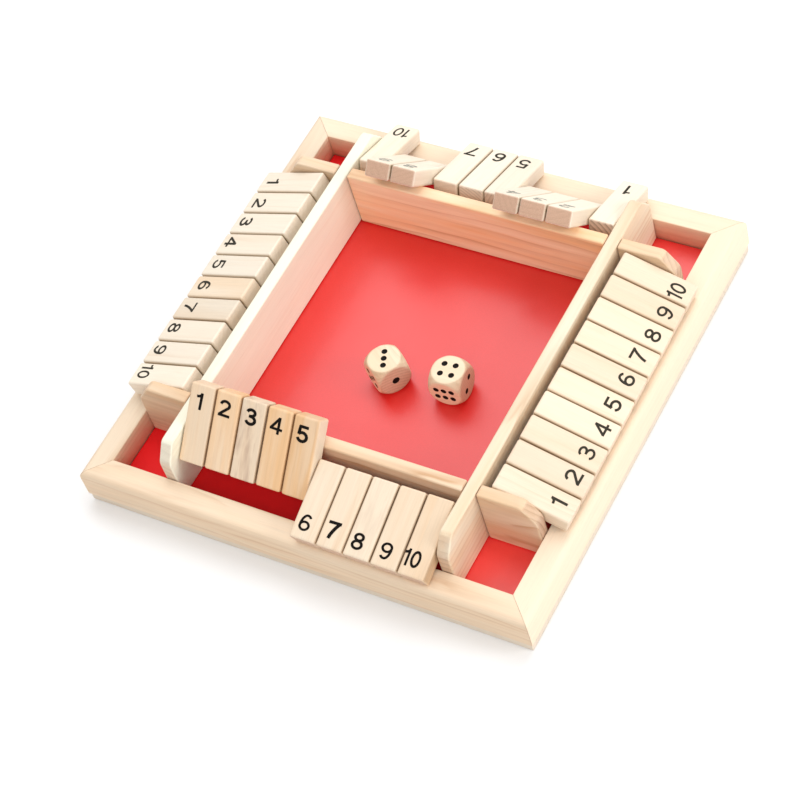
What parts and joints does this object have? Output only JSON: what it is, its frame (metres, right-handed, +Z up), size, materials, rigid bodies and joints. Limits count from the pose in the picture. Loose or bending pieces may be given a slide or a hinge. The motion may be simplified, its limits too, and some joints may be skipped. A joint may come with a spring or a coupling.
{
  "type": "wooden dice board game",
  "caption": "Square wooden board game with a felt-lined dice tray, a row of numbered tiles that swing on a rod along each side, corner wells and loose dice.",
  "frame": {"origin": "on the table, under the middle of the board", "axes": "+Z up; +X to the right and +Y away from the player whose rail is nearest in the picture's lower left"},
  "size_m": [0.225, 0.225, 0.0542],
  "materials": {
    "rail_wood": "sanded pine, clear matt",
    "wall_wood": "sanded pine, clear matt",
    "base_wood": "sanded pine, clear matt",
    "tile_wood": "sanded pine, clear matt",
    "die_wood": "smooth sanded wood",
    "felt": "matt red felt",
    "rod_steel": "drawn rod",
    "ink": "printed or burnt black"
  },
  "bodies": {
    "board": {"base_panel": "base_wood", "felt_lining": "felt", "rail_south": "rail_wood", "rail_east": "rail_wood", "rail_north": "rail_wood", "rail_west": "rail_wood", "rod_south": "rod_steel", "rod_east": "rod_steel", "rod_north": "rod_steel", "rod_west": "rod_steel", "board_west": "wall_wood", "board_east": "wall_wood", "wall_south": "wall_wood", "wall_north": "wall_wood", "cheek_south_west": "wall_wood", "cheek_south_east": "wall_wood", "cheek_north_west": "wall_wood", "cheek_north_east": "wall_wood"},
    "tile_south_01": {"tile_south_01": "tile_wood"},
    "tile_south_02": {"tile_south_02": "tile_wood"},
    "tile_south_03": {"tile_south_03": "tile_wood"},
    "tile_south_04": {"tile_south_04": "tile_wood"},
    "tile_south_05": {"tile_south_05": "tile_wood"},
    "tile_south_06": {"tile_south_06": "tile_wood"},
    "tile_south_07": {"tile_south_07": "tile_wood"},
    "tile_south_08": {"tile_south_08": "tile_wood"},
    "tile_south_09": {"tile_south_09": "tile_wood"},
    "tile_south_10": {"tile_south_10": "tile_wood"},
    "tile_east_01": {"tile_east_01": "tile_wood"},
    "tile_east_02": {"tile_east_02": "tile_wood"},
    "tile_east_03": {"tile_east_03": "tile_wood"},
    "tile_east_04": {"tile_east_04": "tile_wood"},
    "tile_east_05": {"tile_east_05": "tile_wood"},
    "tile_east_06": {"tile_east_06": "tile_wood"},
    "tile_east_07": {"tile_east_07": "tile_wood"},
    "tile_east_08": {"tile_east_08": "tile_wood"},
    "tile_east_09": {"tile_east_09": "tile_wood"},
    "tile_east_10": {"tile_east_10": "tile_wood"},
    "tile_north_01": {"tile_north_01": "tile_wood"},
    "tile_north_02": {"tile_north_02": "tile_wood"},
    "tile_north_03": {"tile_north_03": "tile_wood"},
    "tile_north_04": {"tile_north_04": "tile_wood"},
    "tile_north_05": {"tile_north_05": "tile_wood"},
    "tile_north_06": {"tile_north_06": "tile_wood"},
    "tile_north_07": {"tile_north_07": "tile_wood"},
    "tile_north_08": {"tile_north_08": "tile_wood"},
    "tile_north_09": {"tile_north_09": "tile_wood"},
    "tile_north_10": {"tile_north_10": "tile_wood"},
    "tile_west_01": {"tile_west_01": "tile_wood"},
    "tile_west_02": {"tile_west_02": "tile_wood"},
    "tile_west_03": {"tile_west_03": "tile_wood"},
    "tile_west_04": {"tile_west_04": "tile_wood"},
    "tile_west_05": {"tile_west_05": "tile_wood"},
    "tile_west_06": {"tile_west_06": "tile_wood"},
    "tile_west_07": {"tile_west_07": "tile_wood"},
    "tile_west_08": {"tile_west_08": "tile_wood"},
    "tile_west_09": {"tile_west_09": "tile_wood"},
    "tile_west_10": {"tile_west_10": "tile_wood"},
    "die_left": {"die_left": "die_wood"},
    "die_right": {"die_right": "die_wood"}
  },
  "joints": [
    {"name": "tile_south_01_swing", "type": "hinge", "parent": "board", "child": "tile_south_01", "pos_m": [-0.05962, -0.08547, 0.0329], "axis": [-1, 0, 0], "range_deg": [-154.4, 0]},
    {"name": "tile_south_02_swing", "type": "hinge", "parent": "board", "child": "tile_south_02", "pos_m": [-0.04637, -0.08547, 0.0329], "axis": [-1, 0, 0], "range_deg": [-154.4, 0]},
    {"name": "tile_south_03_swing", "type": "hinge", "parent": "board", "child": "tile_south_03", "pos_m": [-0.03313, -0.08547, 0.0329], "axis": [-1, 0, 0], "range_deg": [-154.4, 0]},
    {"name": "tile_south_04_swing", "type": "hinge", "parent": "board", "child": "tile_south_04", "pos_m": [-0.01988, -0.08547, 0.0329], "axis": [-1, 0, 0], "range_deg": [-154.4, 0]},
    {"name": "tile_south_05_swing", "type": "hinge", "parent": "board", "child": "tile_south_05", "pos_m": [-0.00662, -0.08547, 0.0329], "axis": [-1, 0, 0], "range_deg": [-154.4, 0]},
    {"name": "tile_south_06_swing", "type": "hinge", "parent": "board", "child": "tile_south_06", "pos_m": [0.00662, -0.08547, 0.0329], "axis": [-1, 0, 0], "range_deg": [0, 154.4]},
    {"name": "tile_south_07_swing", "type": "hinge", "parent": "board", "child": "tile_south_07", "pos_m": [0.01988, -0.08547, 0.0329], "axis": [-1, 0, 0], "range_deg": [0, 154.4]},
    {"name": "tile_south_08_swing", "type": "hinge", "parent": "board", "child": "tile_south_08", "pos_m": [0.03313, -0.08547, 0.0329], "axis": [-1, 0, 0], "range_deg": [0, 154.4]},
    {"name": "tile_south_09_swing", "type": "hinge", "parent": "board", "child": "tile_south_09", "pos_m": [0.04637, -0.08547, 0.0329], "axis": [-1, 0, 0], "range_deg": [0, 154.4]},
    {"name": "tile_south_10_swing", "type": "hinge", "parent": "board", "child": "tile_south_10", "pos_m": [0.05962, -0.08547, 0.0329], "axis": [-1, 0, 0], "range_deg": [0, 145.4]},
    {"name": "tile_east_01_swing", "type": "hinge", "parent": "board", "child": "tile_east_01", "pos_m": [0.08547, -0.05962, 0.0329], "axis": [0, -1, 0], "range_deg": [0, 154.4]},
    {"name": "tile_east_02_swing", "type": "hinge", "parent": "board", "child": "tile_east_02", "pos_m": [0.08547, -0.04637, 0.0329], "axis": [0, -1, 0], "range_deg": [0, 154.4]},
    {"name": "tile_east_03_swing", "type": "hinge", "parent": "board", "child": "tile_east_03", "pos_m": [0.08547, -0.03313, 0.0329], "axis": [0, -1, 0], "range_deg": [0, 154.4]},
    {"name": "tile_east_04_swing", "type": "hinge", "parent": "board", "child": "tile_east_04", "pos_m": [0.08547, -0.01988, 0.0329], "axis": [0, -1, 0], "range_deg": [0, 154.4]},
    {"name": "tile_east_05_swing", "type": "hinge", "parent": "board", "child": "tile_east_05", "pos_m": [0.08547, -0.00662, 0.0329], "axis": [0, -1, 0], "range_deg": [0, 154.4]},
    {"name": "tile_east_06_swing", "type": "hinge", "parent": "board", "child": "tile_east_06", "pos_m": [0.08547, 0.00662, 0.0329], "axis": [0, -1, 0], "range_deg": [0, 154.4]},
    {"name": "tile_east_07_swing", "type": "hinge", "parent": "board", "child": "tile_east_07", "pos_m": [0.08547, 0.01988, 0.0329], "axis": [0, -1, 0], "range_deg": [0, 154.4]},
    {"name": "tile_east_08_swing", "type": "hinge", "parent": "board", "child": "tile_east_08", "pos_m": [0.08547, 0.03313, 0.0329], "axis": [0, -1, 0], "range_deg": [0, 154.4]},
    {"name": "tile_east_09_swing", "type": "hinge", "parent": "board", "child": "tile_east_09", "pos_m": [0.08547, 0.04637, 0.0329], "axis": [0, -1, 0], "range_deg": [0, 154.4]},
    {"name": "tile_east_10_swing", "type": "hinge", "parent": "board", "child": "tile_east_10", "pos_m": [0.08547, 0.05962, 0.0329], "axis": [0, -1, 0], "range_deg": [0, 145.4]},
    {"name": "tile_north_01_swing", "type": "hinge", "parent": "board", "child": "tile_north_01", "pos_m": [0.05962, 0.08547, 0.0329], "axis": [1, 0, 0], "range_deg": [0, 154.4]},
    {"name": "tile_north_02_swing", "type": "hinge", "parent": "board", "child": "tile_north_02", "pos_m": [0.04637, 0.08547, 0.0329], "axis": [1, 0, 0], "range_deg": [-154.4, 0]},
    {"name": "tile_north_03_swing", "type": "hinge", "parent": "board", "child": "tile_north_03", "pos_m": [0.03313, 0.08547, 0.0329], "axis": [1, 0, 0], "range_deg": [-154.4, 0]},
    {"name": "tile_north_04_swing", "type": "hinge", "parent": "board", "child": "tile_north_04", "pos_m": [0.01988, 0.08547, 0.0329], "axis": [1, 0, 0], "range_deg": [-154.4, 0]},
    {"name": "tile_north_05_swing", "type": "hinge", "parent": "board", "child": "tile_north_05", "pos_m": [0.00662, 0.08547, 0.0329], "axis": [1, 0, 0], "range_deg": [0, 154.4]},
    {"name": "tile_north_06_swing", "type": "hinge", "parent": "board", "child": "tile_north_06", "pos_m": [-0.00662, 0.08547, 0.0329], "axis": [1, 0, 0], "range_deg": [0, 154.4]},
    {"name": "tile_north_07_swing", "type": "hinge", "parent": "board", "child": "tile_north_07", "pos_m": [-0.01988, 0.08547, 0.0329], "axis": [1, 0, 0], "range_deg": [0, 154.4]},
    {"name": "tile_north_08_swing", "type": "hinge", "parent": "board", "child": "tile_north_08", "pos_m": [-0.03313, 0.08547, 0.0329], "axis": [1, 0, 0], "range_deg": [-154.4, 0]},
    {"name": "tile_north_09_swing", "type": "hinge", "parent": "board", "child": "tile_north_09", "pos_m": [-0.04637, 0.08547, 0.0329], "axis": [1, 0, 0], "range_deg": [-154.4, 0]},
    {"name": "tile_north_10_swing", "type": "hinge", "parent": "board", "child": "tile_north_10", "pos_m": [-0.05962, 0.08547, 0.0329], "axis": [1, 0, 0], "range_deg": [0, 145.4]},
    {"name": "tile_west_01_swing", "type": "hinge", "parent": "board", "child": "tile_west_01", "pos_m": [-0.08547, 0.05962, 0.0329], "axis": [0, 1, 0], "range_deg": [0, 154.4]},
    {"name": "tile_west_02_swing", "type": "hinge", "parent": "board", "child": "tile_west_02", "pos_m": [-0.08547, 0.04637, 0.0329], "axis": [0, 1, 0], "range_deg": [0, 154.4]},
    {"name": "tile_west_03_swing", "type": "hinge", "parent": "board", "child": "tile_west_03", "pos_m": [-0.08547, 0.03313, 0.0329], "axis": [0, 1, 0], "range_deg": [0, 154.4]},
    {"name": "tile_west_04_swing", "type": "hinge", "parent": "board", "child": "tile_west_04", "pos_m": [-0.08547, 0.01988, 0.0329], "axis": [0, 1, 0], "range_deg": [0, 154.4]},
    {"name": "tile_west_05_swing", "type": "hinge", "parent": "board", "child": "tile_west_05", "pos_m": [-0.08547, 0.00662, 0.0329], "axis": [0, 1, 0], "range_deg": [0, 154.4]},
    {"name": "tile_west_06_swing", "type": "hinge", "parent": "board", "child": "tile_west_06", "pos_m": [-0.08547, -0.00662, 0.0329], "axis": [0, 1, 0], "range_deg": [0, 154.4]},
    {"name": "tile_west_07_swing", "type": "hinge", "parent": "board", "child": "tile_west_07", "pos_m": [-0.08547, -0.01988, 0.0329], "axis": [0, 1, 0], "range_deg": [0, 154.4]},
    {"name": "tile_west_08_swing", "type": "hinge", "parent": "board", "child": "tile_west_08", "pos_m": [-0.08547, -0.03313, 0.0329], "axis": [0, 1, 0], "range_deg": [0, 154.4]},
    {"name": "tile_west_09_swing", "type": "hinge", "parent": "board", "child": "tile_west_09", "pos_m": [-0.08547, -0.04637, 0.0329], "axis": [0, 1, 0], "range_deg": [0, 154.4]},
    {"name": "tile_west_10_swing", "type": "hinge", "parent": "board", "child": "tile_west_10", "pos_m": [-0.08547, -0.05962, 0.0329], "axis": [0, 1, 0], "range_deg": [0, 145.4]},
    {"name": "die_left_lift", "type": "slide", "parent": "board", "child": "die_left", "axis": [0, 0, 1], "range_m": [0, 0.1]},
    {"name": "die_right_lift", "type": "slide", "parent": "board", "child": "die_right", "axis": [0, 0, 1], "range_m": [0, 0.1]}
  ]
}
